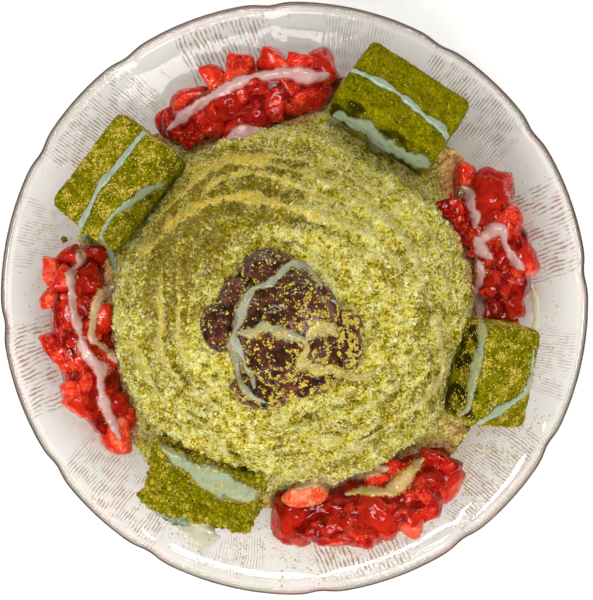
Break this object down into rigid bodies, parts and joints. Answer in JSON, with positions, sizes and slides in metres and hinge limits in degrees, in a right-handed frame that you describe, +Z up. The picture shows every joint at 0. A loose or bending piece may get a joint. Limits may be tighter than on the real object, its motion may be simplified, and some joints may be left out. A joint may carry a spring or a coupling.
{
  "type": "shaved ice dessert",
  "caption": "Green-tea shaved ice dome in a shallow pressed-glass bowl, with a scoop of sweet beans on top, powdered jelly-cake bricks and diced strawberries in syrup around it.",
  "frame": {"origin": "on the table, under the middle of the bowl", "axes": "+Z up; +X and +Y across the bowl, with the bricks at about 339, 61, 147 and 244 degrees from +X towards +Y"},
  "size_m": [0.2378, 0.24, 0.1184],
  "materials": {
    "clear_glass": "clear pressed glass with a fan pattern of grooves on the rim",
    "green_tea_ice": "fluffy shaved ice, pale yellow-green, dusted with green-tea powder",
    "sweet_beans": "moist dark red-brown beans in their paste, glossy",
    "green_tea_powder": "thick matt coat of green-tea powder",
    "strawberry_in_syrup": "wet diced strawberry in its syrup, glossy",
    "condensed_milk": "thick glossy sweetened milk",
    "roasted_soy_powder": "dry tan powder in small clumps"
  },
  "bodies": {
    "root": {"bowl": "clear_glass", "ice_mound": "green_tea_ice", "bean_scoop": "sweet_beans", "brick_upper_left": "green_tea_powder", "brick_upper_right": "green_tea_powder", "brick_right": "green_tea_powder", "brick_lower_left": "green_tea_powder", "strawberries_top": "strawberry_in_syrup", "strawberries_left": "strawberry_in_syrup", "strawberries_bottom": "strawberry_in_syrup", "strawberries_right": "strawberry_in_syrup"}
  },
  "joints": []
}
